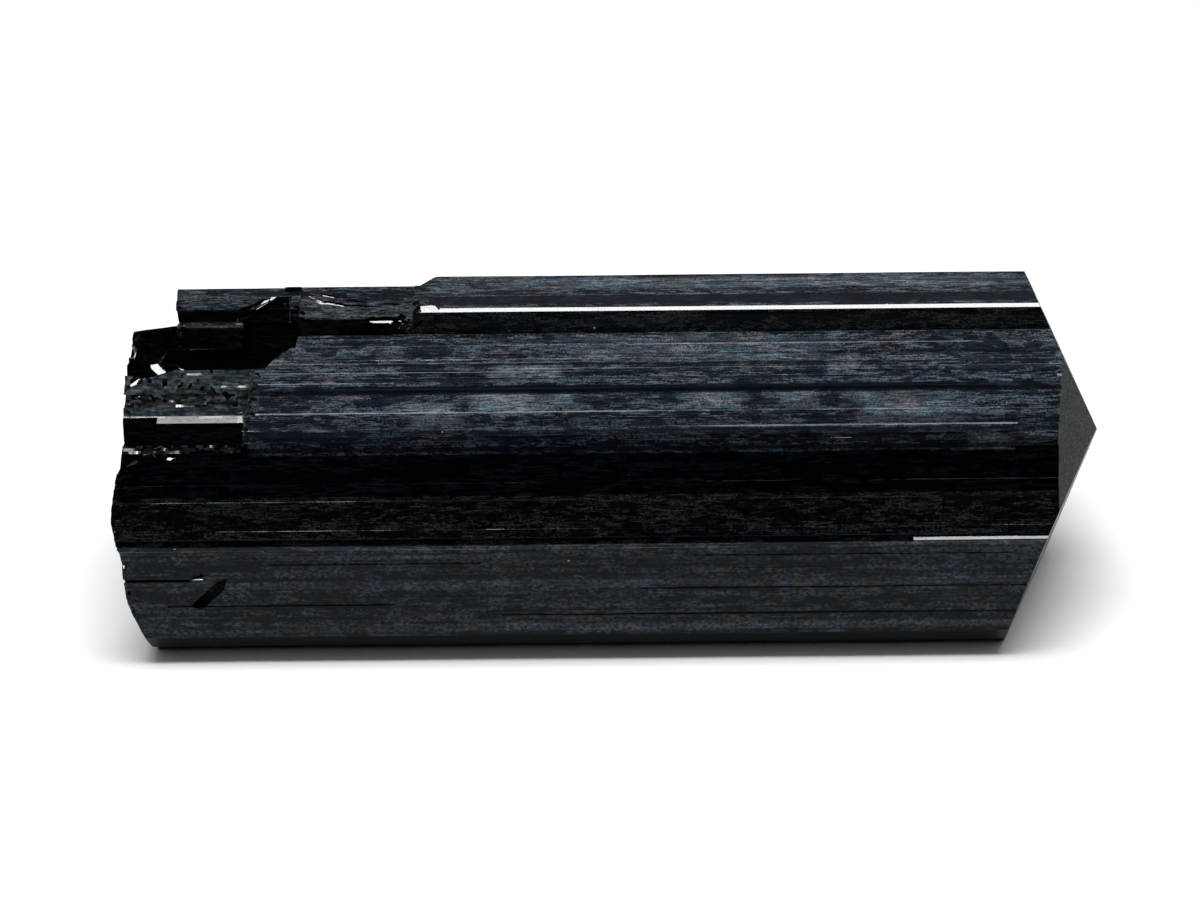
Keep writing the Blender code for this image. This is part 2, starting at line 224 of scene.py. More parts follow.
def placed(name, data):
    """New object in the scene."""
    made = bpy.data.objects.new(name, data)
    bpy.context.scene.collection.objects.link(made)
    return made


def solid(name, points, faces, extra=()):
    """Mesh object of a closed surface in section millimetres, its faces turned outwards."""
    faces = [tuple(face) for face in faces.tolist()] + [tuple(face) for face in extra]
    mesh = bpy.data.meshes.new(name)
    mesh.from_pydata(points.tolist(), [], faces)
    mesh.update()
    mesh.calc_loop_triangles()
    corners = np.empty(len(mesh.loop_triangles) * 3, np.int32)
    mesh.loop_triangles.foreach_get("vertices", corners)
    a, b, c = (points[corners.reshape(-1, 3)[:, i]] for i in range(3))
    if np.einsum("ij,ij->i", a, np.cross(b, c)).sum() < 0:
        mesh.flip_normals()
    return placed(name, mesh)


def prism(sizes, dice):
    """The whole prism: the striated outline carried along the crystal, each terrace at its own
    level, with a slow swell of a few hundredths of a millimetre over the faces."""
    outline, outward, level, depths = striated_outline(section_runs(sizes), sizes.fine_rib / MM, dice)
    along = np.linspace(sizes.broken_x / MM - 1, sizes.point_x / MM + 1, PRISM_STATIONS)
    height = level_table(depths, along, dice)[level].T
    turn = np.arctan2(outline[:, 1], outline[:, 0])[None]
    height = height + 0.012 * np.sin(along[:, None] * 0.31 + 5 * turn) * np.sin(along[:, None] * 0.13 + 2)
    flat = outline[None] + height[..., None] * outward[None]
    points = np.stack([flat[..., 1], flat[..., 0], np.repeat(along[:, None], len(outline), 1)], -1)
    count = len(outline)
    last = (len(along) - 1) * count
    return solid("crystal", points.reshape(-1, 3), grid_faces(len(along), count),
                 [range(count - 1, -1, -1), range(last, last + count)])


def scatter(cells, seed):
    """Random numbers from 0 to 1, three for each row of whole numbers: their products with large
    odd numbers are mixed and folded, so the same cell always gets the same three."""
    mixed_up = cells.astype(np.int64) @ np.array([73856093, 19349663, 83492791]) + seed * 2654435761
    out = np.empty((len(cells), 3))
    for axis in range(3):
        mixed_up = (mixed_up ^ (mixed_up >> 13)) * 1274126177 & 0xFFFFFFFF
        out[:, axis] = mixed_up / 0xFFFFFFFF
    return out


def scallops(points, cell, seed):
    """Height of a field of small hollows: the squared distance to the nearest of many random
    centres, one in each cell of a cubic grid, over the cell size. It is 0 at a centre and sharp
    where two hollows meet."""
    scaled = points / cell
    home = np.floor(scaled)
    near = np.full(len(points), 9.0)
    for x in (-1, 0, 1):
        for y in (-1, 0, 1):
            for z in (-1, 0, 1):
                other = home + (x, y, z)
                gap = other + scatter(other, seed) - scaled
                near = np.minimum(near, np.einsum("ij,ij->i", gap, gap))
    return near * cell


def break_relief(points, seed):
    """Relief of a fresh break: shallow hollows with finer ones inside them."""
    return 0.10 * scallops(points, 1.3, seed) + 0.06 * scallops(points, 0.42, seed + 1)


def finer(outline, spacing):
    """The outline with points added so that none are further apart than the spacing."""
    corners = np.array(outline, float)
    parts = []
    for start, end in zip(corners, np.roll(corners, -1, 0)):
        count = max(1, math.ceil(np.linalg.norm(end - start) / spacing))
        parts.append(start + (end - start) * (np.arange(count) / count)[:, None])
    return np.concatenate(parts)


def column(name, outline, low, high, axes, dice, grain=1.0, spacing=0.22):
    """Cutter: an outline carried from low to high, its walls roughened as a fresh break is where
    they cross the crystal, and lightly where they run along it. axes gives the two directions of
    the outline and the one that it is carried along."""
    ring = finer(outline, spacing)
    steps = np.roll(ring, -1, 0) - np.roll(ring, 1, 0)
    normal = np.stack([steps[:, 1], -steps[:, 0]], -1)
    normal /= np.linalg.norm(normal, axis=1)[:, None]
    stations = np.linspace(low, high, max(2, math.ceil((high - low) / spacing)))
    points = np.empty((len(stations), len(ring), 3))
    points[..., axes[0]], points[..., axes[1]] = ring[None, :, 0], ring[None, :, 1]
    points[..., axes[2]] = stations[:, None]
    crossing = np.abs(normal[:, axes.index(ALONG)]) if ALONG in axes[:2] else np.zeros(len(ring))
    relief = break_relief(points.reshape(-1, 3), dice.integers(1000)).reshape(points.shape[:2])
    relief = relief * (0.12 + 0.88 * crossing)[None] * grain
    points[..., axes[0]] -= relief * normal[None, :, 0]
    points[..., axes[1]] -= relief * normal[None, :, 1]
    count = len(ring)
    last = (len(stations) - 1) * count
    return solid(name, points.reshape(-1, 3), grid_faces(len(stations), count),
                 [range(count - 1, -1, -1), range(last, last + count)])


def slab(name, place, normal, half, dice, relief=break_relief, spacing=0.22, thick=8.0):
    """Cutter: a block beyond a plane, whose near side is a grid with a relief. place and normal
    are (out, up, along), and half is half the width of the block."""
    facing = Vector((normal[1], normal[0], normal[2])).normalized()
    turned = np.array(facing.to_track_quat("Z", "Y").to_matrix())
    count = max(2, int(2 * half / spacing))
    side = np.linspace(-half, half, count)
    first, second = np.meshgrid(side, side, indexing="ij")
    flat = np.stack([first, second, np.zeros_like(first)], -1).reshape(-1, 3)
    flat[:, 2] += relief(flat, dice.integers(1000))
    far = np.array([(-half, -half, thick), (-half, half, thick), (half, half, thick), (half, -half, thick)])
    points = np.concatenate([flat, far]) @ turned.T + (place[1], place[0], place[2])
    return lidded(name, points, (count, count))


def pad(name, alongs, ups, level, rough, dice):
    """Cutter: takes the front off down to a crumbled floor at the given level, which rises by up
    to rough between its hollows. The hollows are drawn out along the crystal."""
    counts = [max(2, int((high - low) / 0.11)) for low, high in (alongs, ups)]
    sides = [np.linspace(*ends, count) for ends, count in zip((alongs, ups), counts)]
    first, second = np.meshgrid(*sides, indexing="ij")
    flat = np.stack([second, np.full_like(first, level), first], -1).reshape(-1, 3)
    drawn = flat * (1, 1, 0.4)
    for hollow in (0.5, 0.23):
        flat[:, OUT] += 2 * rough * scallops(drawn, hollow, dice.integers(1000))
    far = [(ups[b], FAR_OUT, alongs[a]) for a, b in ((0, 0), (0, 1), (1, 1), (1, 0))]
    return lidded(name, np.concatenate([flat, far]), counts)


def lidded(name, points, counts):
    """Solid between a grid of points and four far corners, which follow the grid's points."""
    rows, columns = counts
    base = rows * columns
    row, column = np.arange(rows) * columns, np.arange(columns)
    walls = [[*column, base + 1, base], [*((rows - 1) * columns + column)[::-1], base + 3, base + 2],
             [*row[::-1], base, base + 3], [*(row + columns - 1), base + 2, base + 1]]
    quads = grid_faces(rows, columns, closed=False)
    return solid(name, points, quads[:, ::-1], [*walls, (base, base + 1, base + 2, base + 3)])


def chip(name, place, tilt, yaw, turn, size, dice):
    """Cutter: a small pointed block that leaves one flat facet. place is (out, up, along), tilt
    and yaw turn the facet up and towards the point, and turn leans its length, all in degrees."""
    tilt, yaw, turn = (math.radians(angle) for angle in (tilt, yaw, turn))
    facing = Vector((math.sin(tilt) * math.cos(yaw), math.cos(tilt) * math.cos(yaw), math.sin(yaw)))
    length_way = Vector((0, 0, 1)) - facing * facing.z
    length_way.normalize()
    length_way.rotate(Quaternion(facing, turn))
    wide_way = facing.cross(length_way)
    half_long, half_wide, thick = size[0] / 2, size[1] / 2, 2.5
    ring = [(-1, -0.2), (-0.5, -1), (0.55, -0.9), (1, 0.1), (0.4, 1), (-0.6, 0.85)]
    low = [length_way * a * half_long * dice.uniform(0.8, 1.1)
           + wide_way * b * half_wide * dice.uniform(0.7, 1.1) for a, b in ring]
    middle = Vector((place[1], place[0], place[2]))
    points = [middle + corner for corner in low] + [middle + corner * 1.6 + facing * thick for corner in low]
    walls = [(a, (a + 1) % 6, 6 + (a + 1) % 6, 6 + a) for a in range(6)]
    ends = [range(5, -1, -1), range(6, 12)]
    return solid(name, np.array([tuple(point) for point in points]), np.array(walls), ends)


def chips(name, start, end, count, size, dice):
    """Random chips along an edge, from start to end as (out, up, along)."""
    made = []
    for step in range(count):
        place = np.array(start) + (np.array(end) - start) * (step + dice.random()) / count
        place = place + dice.uniform(-0.1, 0.1, 3)
        reach = size * dice.uniform(0.5, 1.3)
        tilt, yaw, turn = dice.uniform(0, 70), dice.uniform(-50, 50), dice.uniform(-90, 90)
        extent = (reach, reach * dice.uniform(0.35, 0.8))
        made.append(chip(name, place, tilt, yaw, turn, extent, dice))
    return made


def bowl(name, place, radius, depth, broken):
    """Cutter: a ball that dips into the broken end, with the rings of a shell-shaped break:
    its radius swells by a sine of the angle from the middle of the hollow."""
    rows, columns = 90, 140
    polar = np.linspace(0, math.pi, rows + 2)[1:-1, None] * np.ones(columns)
    around = np.linspace(0, 2 * math.pi, columns, endpoint=False)[None] * np.ones((rows, 1))
    reach = radius + 0.035 * np.sin(polar * radius * 6.0) * np.exp(-polar * 2.5)
    points = np.stack([reach * np.sin(polar) * np.cos(around), reach * np.sin(polar) * np.sin(around),
                       reach * np.cos(polar)], -1).reshape(-1, 3)
    points = np.concatenate([points, [(0, 0, radius), (0, 0, -radius)]])
    points = points + (place[1], place[0], broken + depth - radius)
    count, top, low = rows * columns, rows * columns, rows * columns + 1
    here = np.arange(columns)
    then = (here + 1) % columns
    caps = [(top, b, a) for a, b in zip(here, then)] + \
           [(low, count - columns + a, count - columns + b) for a, b in zip(here, then)]
    return solid(name, points, grid_faces(rows, columns), caps)


def end_relief(points, seed):
    """Relief of a natural end face: growth hillocks a hundredth of a millimetre high."""
    swell = np.sin(points[:, 0] * 1.9 + 1) * np.sin(points[:, 1] * 2.3)
    return 0.006 * (1 + swell) + 0.01 * scallops(points, 0.8, seed)


def front_cut(name, outline, low, dice, high=FAR_OUT, **more):
    """An (along, up) outline carried outwards."""
    return column(name, outline, low, high, (ALONG, UP, OUT), dice, **more)


def top_cut(name, outline, low, high, dice, **more):
    """An (along, out) outline carried upwards."""
    return column(name, outline, low, high, (ALONG, OUT, UP), dice, **more)


def along_cut(name, outline, low, high, dice, **more):
    """An (out, up) outline carried along the crystal."""
    return column(name, outline, low, high, (OUT, UP, ALONG), dice, **more)


def point_cutters(sizes, dice):
    """Three large end faces that meet on the axis, and a small steep one on each edge."""
    made = []
    for turn in (60, 180, 300):
        a, slope = math.radians(turn), sizes.end_slope
        normal = (slope * math.cos(a), slope * math.sin(a), 1)
        made.append(slab("end_face", (0, 0, sizes.point_x / MM), normal, 17, dice, end_relief, 0.35, 20))
    for turn, at_axis in {0: 33.55, 120: 34.9, 240: 35.3}.items():
        a, slope = math.radians(turn), 2 * sizes.end_slope
        normal = (slope * math.cos(a), slope * math.sin(a), 1)
        place = (7.2 * math.cos(a), 7.2 * math.sin(a), at_axis - 7.2 * slope)
        made.append(slab("small_end_face", place, normal, 7, dice, end_relief, 0.2, 9))
    return made


def ledge_cutters(sizes, dice):
    """Ledges that the lost columns left along the broken stretch of the front and the top."""
    far, up = sizes.broken_x / MM - 1.5, 10.0
    step, end = 8.68, -10.5
    strips = [(2.1, FAR_OUT, step, end), (0.3, 2.1, step + 0.12, end - 0.2),
              (-1.2, 0.3, step - 0.1, end - 0.5), (-9.0, -1.2, step + 0.02, end - 0.9)]
    ribs = [(6.28, 7.32), (5.9, 7.25), (5.9, 6.62), (6.15, 6.27), (6.4, 6.25), (6.4, 5.95), (6.5, 5.86),
            (6.5, 4.95), (FAR_OUT, 4.95), (FAR_OUT, 7.32)]
    made = []
    for low, high, level, stop in strips:
        outline = [(far, level), (stop - 1.1, level), (stop, 9.35), (stop, up), (far, up)]
        made.append(front_cut("top_step", outline, low, dice, high))
    return made + [
        front_cut("shelf_top", [(far, step - 0.06), (-19.3, step - 0.04), (-19.1, up), (far, up)], -9, dice),
        top_cut("shelf_wall", [(far, 6.3), (-13.3, 6.3), (-12.9, 7.0), (-12.9, FAR_OUT), (far, FAR_OUT)],
                5.70, up, dice),
        front_cut("shelf_fracture", [(-14.5, 5.7), (-13.0, 5.7), (-12.2, 6.7), (-11.3, 7.6), (-11.0, 8.3),
                                     (-14.5, 8.3)], 6.35, dice),
        along_cut("shelf_ribs", ribs, far, -21.7, dice, grain=0.4),
        along_cut("left_slope", [(4.7, 8.65), (6.34, 7.25), (FAR_OUT, 7.25), (FAR_OUT, 8.65)], far, -18.4,
                  dice, grain=0.5),
        along_cut("middle_slope", [(4.5, 8.85), (5.3, 7.95), (6.32, 6.66), (FAR_OUT, 6.66), (FAR_OUT, 8.85)],
                  -18.5, -11.9, dice, grain=1.5),
        front_cut("plate_corner", [(far, 4.95), (-18.4, 4.95), (-18.2, 5.75), (far, 5.75)], 6.5, dice),
        front_cut("recess", [(far, 3.78), (-20.15, 3.78), (-19.7, 4.25), (-19.1, 4.68), (-18.4, 5.1),
                             (-18.2, 5.72), (-18.6, 6.6), (-21.5, 6.6), (-21.9, 4.95), (far, 4.95)],
                  5.2, dice),
    ]


def block_cutters(sizes, dice):
    """Front block: a rough strip, a lumpy groove, a rib with a bevel above it, loose bits below."""
    far, level = sizes.broken_x / MM - 1.5, 7.35
    strips = [(3.85, 2.40, -20.6, level, 0.16), (2.42, 1.68, -20.8, level - 0.32, 0.3),
              (1.70, 1.15, -21.0, level + 0.07, 0.03)]
    rib = [(level + 0.07, 1.18), (level + 0.32, 0.75), (level + 0.34, -0.5), (FAR_OUT, -0.54),
           (FAR_OUT, 1.18)]
    made = []
    for top, bottom, end, depth, rough in strips:
        outline = [(far, bottom), (end - 0.35, bottom), (end, top), (far, top)]
        made.append(front_cut("block_strip", outline, depth + 2.5 * rough, dice))
        made.append(pad("block_floor", (far, end - 0.4), (bottom, top), depth, rough, dice))
    return made + [
        along_cut("block_rib", rib, far, -21.4, dice, grain=0.3),
        pad("block_loose", (far, -21.5), (-0.97, -0.49), 7.86, 0.3, dice),
        front_cut("block_rib_end", [(far, -0.4), (-26.4, -0.4), (-26.4, 1.1), (far, 1.1)], level + 0.12,
                  dice),
        front_cut("block_foot", [(far, -2.0), (-27.2, -1.8), (-25.6, -1.2), (-23.4, -1.5), (-22.3, -0.85),
                                 (far, -0.85)], 8.15, dice),
    ]


def break_cutters(sizes, dice):
    """Broken end: the shelf's and the stump's ends, flat breaks, stairs behind and shell hollows."""
    broken = sizes.broken_x / MM
    far, deep = broken - 1.5, 14.0
    end_profile = [
        (far, 6.6), (-28.45, 6.3), (-28.65, 5.0), (-28.88, 4.2), (-28.8, 3.3), (-28.3, 3.2), (-28.42, 2.3),
        (-28.45, 0.9), (-28.33, -0.5), (-28.51, -1.8), (-28.76, -3.1), (broken, -4.1), (broken, -4.9),
        (-28.7, -6.2), (-28.4, -6.6), (-28.36, -9.5), (-28.12, -10.4), (-27.55, -11.75), (-27.2, -13.0),
        (far, -13.0)]
    breaks = [((-6, 3, -28.4), (-0.28, 0.10, -1)), ((8.6, -4.1, broken), (0.9, 0.15, -1)),
              ((7.2, 3.8, -28.2), (0.5, 0.5, -1))]
    stairs = [(-27.7, [(-5.2, -deep), (-4.6, 3.4), (-3.4, 4.1), (-3.6, deep), (-deep, deep), (-deep, -deep)]),
              (-26.6, [(-7.6, -3.0), (-6.9, 1.1), (-6.3, deep), (-deep, deep), (-deep, -3.2)]),
              (-25.4, [(-5.6, 4.3), (-1.9, 6.1), (-1.2, deep), (-5.6, deep)]),
              (-24.5, [(-4.3, 6.9), (0.6, 7.5), (1.2, deep), (-4.3, deep)]),
              (-24.9, [(-9.3, -deep), (-8.8, 0.9), (-9.9, deep), (-deep, deep), (-deep, -deep)]),
              (-27.4, [(-6.6, -deep), (-5.6, -5.6), (-1.4, -6.9), (0.2, -deep)])]
    scoops = [((1.5, -1.5), 9.0, 1.15), ((-3.4, -7.0), 6.5, 0.9), ((4.8, -7.4), 5.0, 0.7),
              ((-4.0, 2.4), 5.5, 1.9)]
    made = [
        front_cut("above_stump", [(far, 6.1), (-28.3, 6.2), (-25.45, 6.55), (-25.75, 8.6), (-25.8, 10),
                                  (far, 10)], -10, dice),
        front_cut("before_stump", [(far, 3.78), (-27.0, 3.35), (-25.35, 3.78), (-25.45, 6.65), (far, 6.65)],
                  4.6, dice),
        front_cut("stump_hollow", [(-28.15, 4.45), (-26.8, 4.45), (-26.75, 5.65), (-28.1, 5.65)], 4.15, dice),
        front_cut("end_profile", end_profile, -deep, dice),
        front_cut("block_end", [(far, 3.95), (-28.4, 3.8), (-28.3, 3.1), (far, 3.1)], 4.6, dice),
    ]
    made += [slab("break", place, normal, 22, dice, spacing=0.3) for place, normal in breaks]
    made += [along_cut("stair", outline, far, end, dice, spacing=0.4) for end, outline in stairs]
    return made + [bowl("scoop", place, radius, depth, broken) for place, radius, depth in scoops]


# Facets that catch the light: (out, up, along), tilt, yaw and turn in degrees, (length, width)
GLINTS = [
    ((5.6, 6.85, -21.65), 30, -3, 38, (1.4, 0.40)), ((5.6, 7.6, -20.75), 30, -3, 38, (1.4, 0.36)),
    ((5.42, 8.0, -19.95), 31, 3, 25, (0.9, 0.4)), ((5.9, 7.45, -19.1), 30, 2, 70, (1.1, 0.16)),
    ((6.12, 6.56, -13.7), 30, 0, 0, (2.3, 0.42)), ((6.70, 7.22, -10.9), 31, 3, -12, (1.4, 0.5)),
    ((6.45, 6.75, -12.3), 30, -10, 52, (3.0, 0.5)), ((5.33, 7.82, -17.6), 31, 2, -22, (1.6, 0.36)),
    ((5.44, 7.56, -16.4), 31, 0, -14, (1.8, 0.26)), ((5.56, 7.42, -14.9), 31, 0, -5, (2.0, 0.15)),
    ((5.32, 7.74, -15.4), 31, 0, -10, (1.4, 0.15)), ((5.05, 8.08, -16.9), 31, 0, -16, (1.2, 0.2)),
    ((5.48, 7.52, -13.2), 31, 0, -4, (1.2, 0.14)), ((4.40, 3.95, -27.0), 30, 4, -45, (1.4, 0.7)),
    ((4.20, 5.05, -26.45), 28, -8, 58, (2.3, 0.3)), ((4.48, 5.95, -26.9), 31, 0, 8, (1.9, 0.14)),
    ((4.50, 4.05, -25.8), 30, 0, -30, (1.3, 0.12)), ((4.30, 5.1, -28.3), 31, 0, 80, (1.2, 0.16)),
    ((7.25, 3.15, -27.7), 31, 0, 45, (0.8, 0.5)), ((7.55, 1.15, -21.75), 33, 5, 80, (0.7, 0.5)),
    ((8.32, -1.05, -24.6), 31, 0, -8, (1.6, 0.5)), ((8.32, -1.2, -25.4), 30, 4, 24, (0.8, 0.4)),
    ((8.05, -0.85, -26.7), 32, -4, 34, (1.5, 0.35)), ((8.1, -1.5, -27.7), 30, -8, 40, (1.0, 0.4)),
    ((7.84, -8.1, -24.1), 30, 0, 10, (0.7, 0.4)), ((7.66, -8.5, -22.8), 30, 0, -50, (0.5, 0.2)),
    ((8.25, 3.05, 24.9), 30, 0, 10, (0.4, 0.3)), ((7.31, -9.3, -10.8), 30, 0, 0, (9.5, 0.06)),
    ((6.86, -10.15, -1.0), 30, 0, 0, (16.0, 0.045)), ((8.10, -7.75, 9.0), 30, 0, 0, (7.0, 0.04)),
]

# Thin dark grooves of the lower face: up, start and end along the crystal
GROOVES = [(-8.9, 1.1, 23.8), (-10.42, -6.9, 23.2), (-7.35, -20.0, -8.0), (-9.75, -26.0, -13.0),
           (-7.0, 4.0, 22.0)]

# Growth steps that stop short of the point: top, bottom, start along the crystal, and level
END_PATCH = [(2.11, 1.21, 22.2, 8.38), (1.21, 0.25, 22.4, 8.46), (0.25, -0.42, 21.9, 8.54),
             (-0.95, -2.3, 22.1, 8.52)]

# Edges that crumbled: start and end as (out, up, along), number of chips and their size
CRUMBLED = [
    ((8.2, 3.7, -20.6), (8.45, -0.7, -21.35), 24, 0.4), ((7.85, 5.6, -18.3), (8.0, 3.8, -20.8), 7, 0.5),
    ((6.2, 7.2, -25.4), (6.3, 4.0, -25.4), 12, 0.6), ((8.3, -0.5, -28.2), (8.4, -5.9, -28.6), 14, 0.6),
    ((5.2, 8.5, -25.7), (6.1, 7.3, -25.5), 4, 0.5), ((6.2, 7.4, -12.2), (6.2, 5.8, -12.9), 7, 0.8),
    ((6.5, 7.2, -11.8), (6.7, 5.8, -12.2), 6, 0.7), ((4.5, 6.2, -28.3), (4.5, 4.0, -28.6), 6, 0.6),
    ((8.2, -1.2, -27.9), (8.4, -1.1, -22.4), 8, 0.6), ((5.4, 8.0, -18.3), (6.2, 6.6, -18.3), 6, 0.5),
    ((7.3, 3.8, -28.1), (7.5, 0.8, -28.3), 6, 0.5), ((7.2, 3.3, -27.8), (7.25, 2.0, -21.5), 12, 0.5),
    ((7.9, -7.0, -28.3), (6.6, -11.2, -27.8), 8, 0.25),
]


def chip_cutters(dice):
    """Small chips and facets, cracks and the gouge on the lower front face."""
    ridge_foot, lean, above = -6.52, 0.518, 9.5     # the lower face leans out by this for each mm up
    made = [chip("glint", *glint, dice) for glint in GLINTS]
    for start, end, count, size in CRUMBLED:
        made += chips("edge", start, end, count, size, dice)
    for up, start, end in GROOVES:
        surface = FRONT_STEPS[-1][0] + (up - ridge_foot) * lean
        wedge = [(surface - 0.1, up), (surface + 0.1, up + 0.13), (surface + 0.1, up - 0.08)]
        made.append(along_cut("groove", wedge, start, end, dice, spacing=0.5))
    for top, bottom, start, level in END_PATCH:
        outline = [(start, bottom), (26.8, bottom), (26.8, top), (start + 0.2, top)]
        made.append(front_cut("end_patch", outline, level, dice, above))
    return made + [
        front_cut("shelf_chip", [(-22.0, 6.55), (-19.7, 8.2), (-19.6, 9.0), (-19.1, 9.0), (-19.0, 6.55)],
                  5.35, dice, 9),
        top_cut("shelf_crack", [(-19.35, 7.2), (-19.2, 4.9), (-19.0, 7.2)], 6.0, 8.9, dice, spacing=0.1),
        front_cut("gouge", [(-24.7, -9.75), (-23.1, -8.35), (-22.5, -8.1), (-22.7, -8.75), (-24.1, -9.9)],
                  6.55, dice, above, spacing=0.1),
        front_cut("crack", [(-30, -8.32), (-24.6, -8.28), (-24.6, -8.14), (-30, -8.12)], 7.55, dice, above,
                  spacing=0.1, grain=0.3),
        along_cut("ridge_step", [(8.40, -5.90), (8.37, -5.93), (8.36, -6.28), (8.66, -6.36), (9.2, -6.38),
                                 (9.2, -5.90)], -30, 16.5, dice, grain=0.3, spacing=0.3),
    ]


def carve(crystal, cutters):
    """Takes every cutter away from the crystal and removes it."""
    for cutter in cutters:
        cut = crystal.modifiers.new(cutter.name, "BOOLEAN")
        cut.operation, cut.solver, cut.object = "DIFFERENCE", "MANIFOLD", cutter
        graph = bpy.context.evaluated_depsgraph_get()
        carved = bpy.data.meshes.new_from_object(crystal.evaluated_get(graph))
        crystal.modifiers.clear()
        if len(carved.polygons) < 100:
            raise RuntimeError(f"{cutter.name} took the whole crystal away")
        crystal.data = carved
        bpy.data.objects.remove(cutter, do_unlink=True)


def drop_crumbs(mesh):
    """Deletes whatever the cuts have parted from the main body."""
    body = bmesh.new()
    body.from_mesh(mesh)
    reached = set()
    waiting = [max(body.faces, key=lambda face: face.calc_area()).verts[0]]
    while waiting:
        vertex = waiting.pop()
        if vertex not in reached:
            reached.add(vertex)
            waiting += [edge.other_vert(vertex) for edge in vertex.link_edges]
    bmesh.ops.delete(body, geom=[vertex for vertex in body.verts if vertex not in reached], context="VERTS")
    body.to_mesh(mesh)
    body.free()


def place_in_world(crystal, sizes):
    """Section millimetres to metres on the table: turned about the length, then lifted."""
    mesh = crystal.data
    flat = np.empty(len(mesh.vertices) * 3)
    mesh.vertices.foreach_get("co", flat)
    up, out, along = flat.reshape(-1, 3).T * MM
    sine, cosine = math.sin(SECTION_TURN), math.cos(SECTION_TURN)
    world = np.stack([along + sizes.axis_x, sizes.axis_y - out * cosine + up * sine,
                      sizes.axis_height + out * sine + up * cosine], -1)
    mesh.vertices.foreach_set("co", world.ravel())
    mesh.update()


# Kinds of surface, in the order of the materials
GLASSY, TOP, HAZED, BULGE, LOW, DULL, POINT, FRESH, RUBBLE, CHIPPED, MIRROR = range(11)


def sort_faces(mesh):
    """Material of each face, read in section millimetres from where it lies and how it faces."""
    count = len(mesh.polygons)
    centre, normal, area = np.empty(count * 3), np.empty(count * 3), np.empty(count)
    mesh.polygons.foreach_get("center", centre)
    mesh.polygons.foreach_get("normal", normal)
    mesh.polygons.foreach_get("area", area)
    up, out, along = centre.reshape(-1, 3).T
    facing = normal.reshape(-1, 3)
    plate = out > 7.8
    kind = np.full(count, GLASSY)
    kind[up > 7.25] = TOP
    kind[(along < -11.3) & (up > 6.6) & (facing[:, UP] > 0.3)] = CHIPPED
    kind[plate & (up > -0.2) & (up < 5.7)] = HAZED
    # the bulge gets the same haze painted darker, as shade
    kind[plate & (up > -1.0) & (up <= -0.2) & (along > -21)] = BULGE
    kind[plate & (up > -6.3) & (up < -3.6)] = LOW
    wall = (out > 6.9) & (out < 7.05) & (up > 5.6) & (up < 6.95)
    kind[wall & (along > -12)] = LOW
    bevel = (along < -20.6) & (np.abs(up - 0.9) < 0.3)
    kind[bevel & (facing[:, UP] > 0.35)] = GLASSY
    kind[(up < -6.3) & (out > 6.1)] = DULL
    ledge = (along < -11) & (out > 4.4) & (up > 3.9) & (up <= 6.6)
    kind[ledge & (facing[:, UP] > 0.3)] = TOP
    block = (along < -20.6) & (up > 1.1) & (up < 3.9)
    kind[block & (facing[:, OUT] > 0.3)] = RUBBLE
    kind[(along > 15) & (facing[:, ALONG] > 0.3)] = POINT
    kind[(along < -10) & (np.abs(facing[:, ALONG]) > 0.2)] = FRESH
    stump = (along < -26.7) & (up > 4.3) & (up < 5.7) & (out < 4.4)
    kind[stump & (facing[:, OUT] > 0.8)] = FRESH
    tilted = (facing[:, OUT] > 0.5) & (facing[:, UP] > 0.4) & (facing[:, UP] < 0.6)
    beside_rib = np.abs(up - 0.9) < 0.35
    chipped = (along < -10.5) & ~beside_rib & (area > 0.03) & (up < 8.2)
    growth_step = (np.abs(up - 7.1) < 0.13) | (up > 8.2) & (along > -10)
    kind[tilted & (np.abs(facing[:, ALONG]) < 0.2) & (chipped | growth_step)] = MIRROR
    crumbled = (along > -21.9) & (along < -20.3) & (up > -0.9) & (up < 3.9)
    kind[crumbled & (facing[:, OUT] < 0.97) & (facing[:, OUT] > 0.2)] = RUBBLE
    mesh.polygons.foreach_set("material_index", kind.astype(np.int32))


# ---- materials

TOURMALINE_IOR = 1.63
DUST = hex_colour("#8c8c84")

# Haze on the front: middle along the crystal and up, half length, half height (mm), strength
HAZE_SPOTS = [
    (-10.8, 1.43, 1.6, 0.33, 0.9), (-6.7, 1.8, 1.8, 0.65, 1.0), (-5.5, 3.5, 2.2, 0.42, 0.7),
    (-10.5, 0.7, 1.7, 0.4, 0.6), (0.0, -8.55, 30.0, 0.25, 0.3), (4.0, -11.15, 28.0, 0.25, 0.4),
    (-12.0, -6.95, 9.0, 0.15, 0.4), (-3.9, 1.8, 1.4, 0.5, 0.5), (1.6, 4.85, 5.0, 0.7, 0.4),
    (5.2, 1.85, 1.8, 0.5, 0.6), (10.1, 1.8, 1.1, 0.55, 0.5), (12.6, 3.75, 0.9, 0.6, 0.6),
    (16.4, 1.2, 3.0, 0.9, 0.6), (20.9, -0.68, 1.2, 0.5, 0.9), (8.4, 4.7, 3.5, 0.7, 0.35),
    (8.5, 8.72, 15.5, 0.34, 0.5),
]

# Darker bands, in the same form: painted shade along the grooves and steps and over the plate's lower part,
# which turns away from the lamp; the rest only darken the front
SHADE_AND_DARK_BANDS = [
    (3.0, 2.50, 26.0, 0.24, 0.95), (3.0, 3.90, 27.0, 0.06, 0.7), (0.0, 4.45, 27.0, 0.06, 0.5),
    (2.0, 5.14, 27.0, 0.07, 0.4), (1.0, 3.10, 24.0, 0.06, 0.5), (0.0, 0.60, 34.0, 0.36, 0.45),
    (0.0, 0.02, 34.0, 0.20, 0.75), (0.0, -0.9, 30.0, 0.14, 0.8), (8.0, 7.70, 30.0, 0.33, 0.9),
    (0.0, -7.35, 30.0, 0.35, 0.3), (6.0, -8.05, 20.0, 0.12, 0.35), (0.0, -9.6, 26.0, 0.2, 0.25),
    (9.0, -10.45, 18.0, 0.12, 0.4), (-16.0, -9.9, 8.0, 0.3, 0.3), (-24.9, 2.0, 3.3, 0.22, 0.85),
]


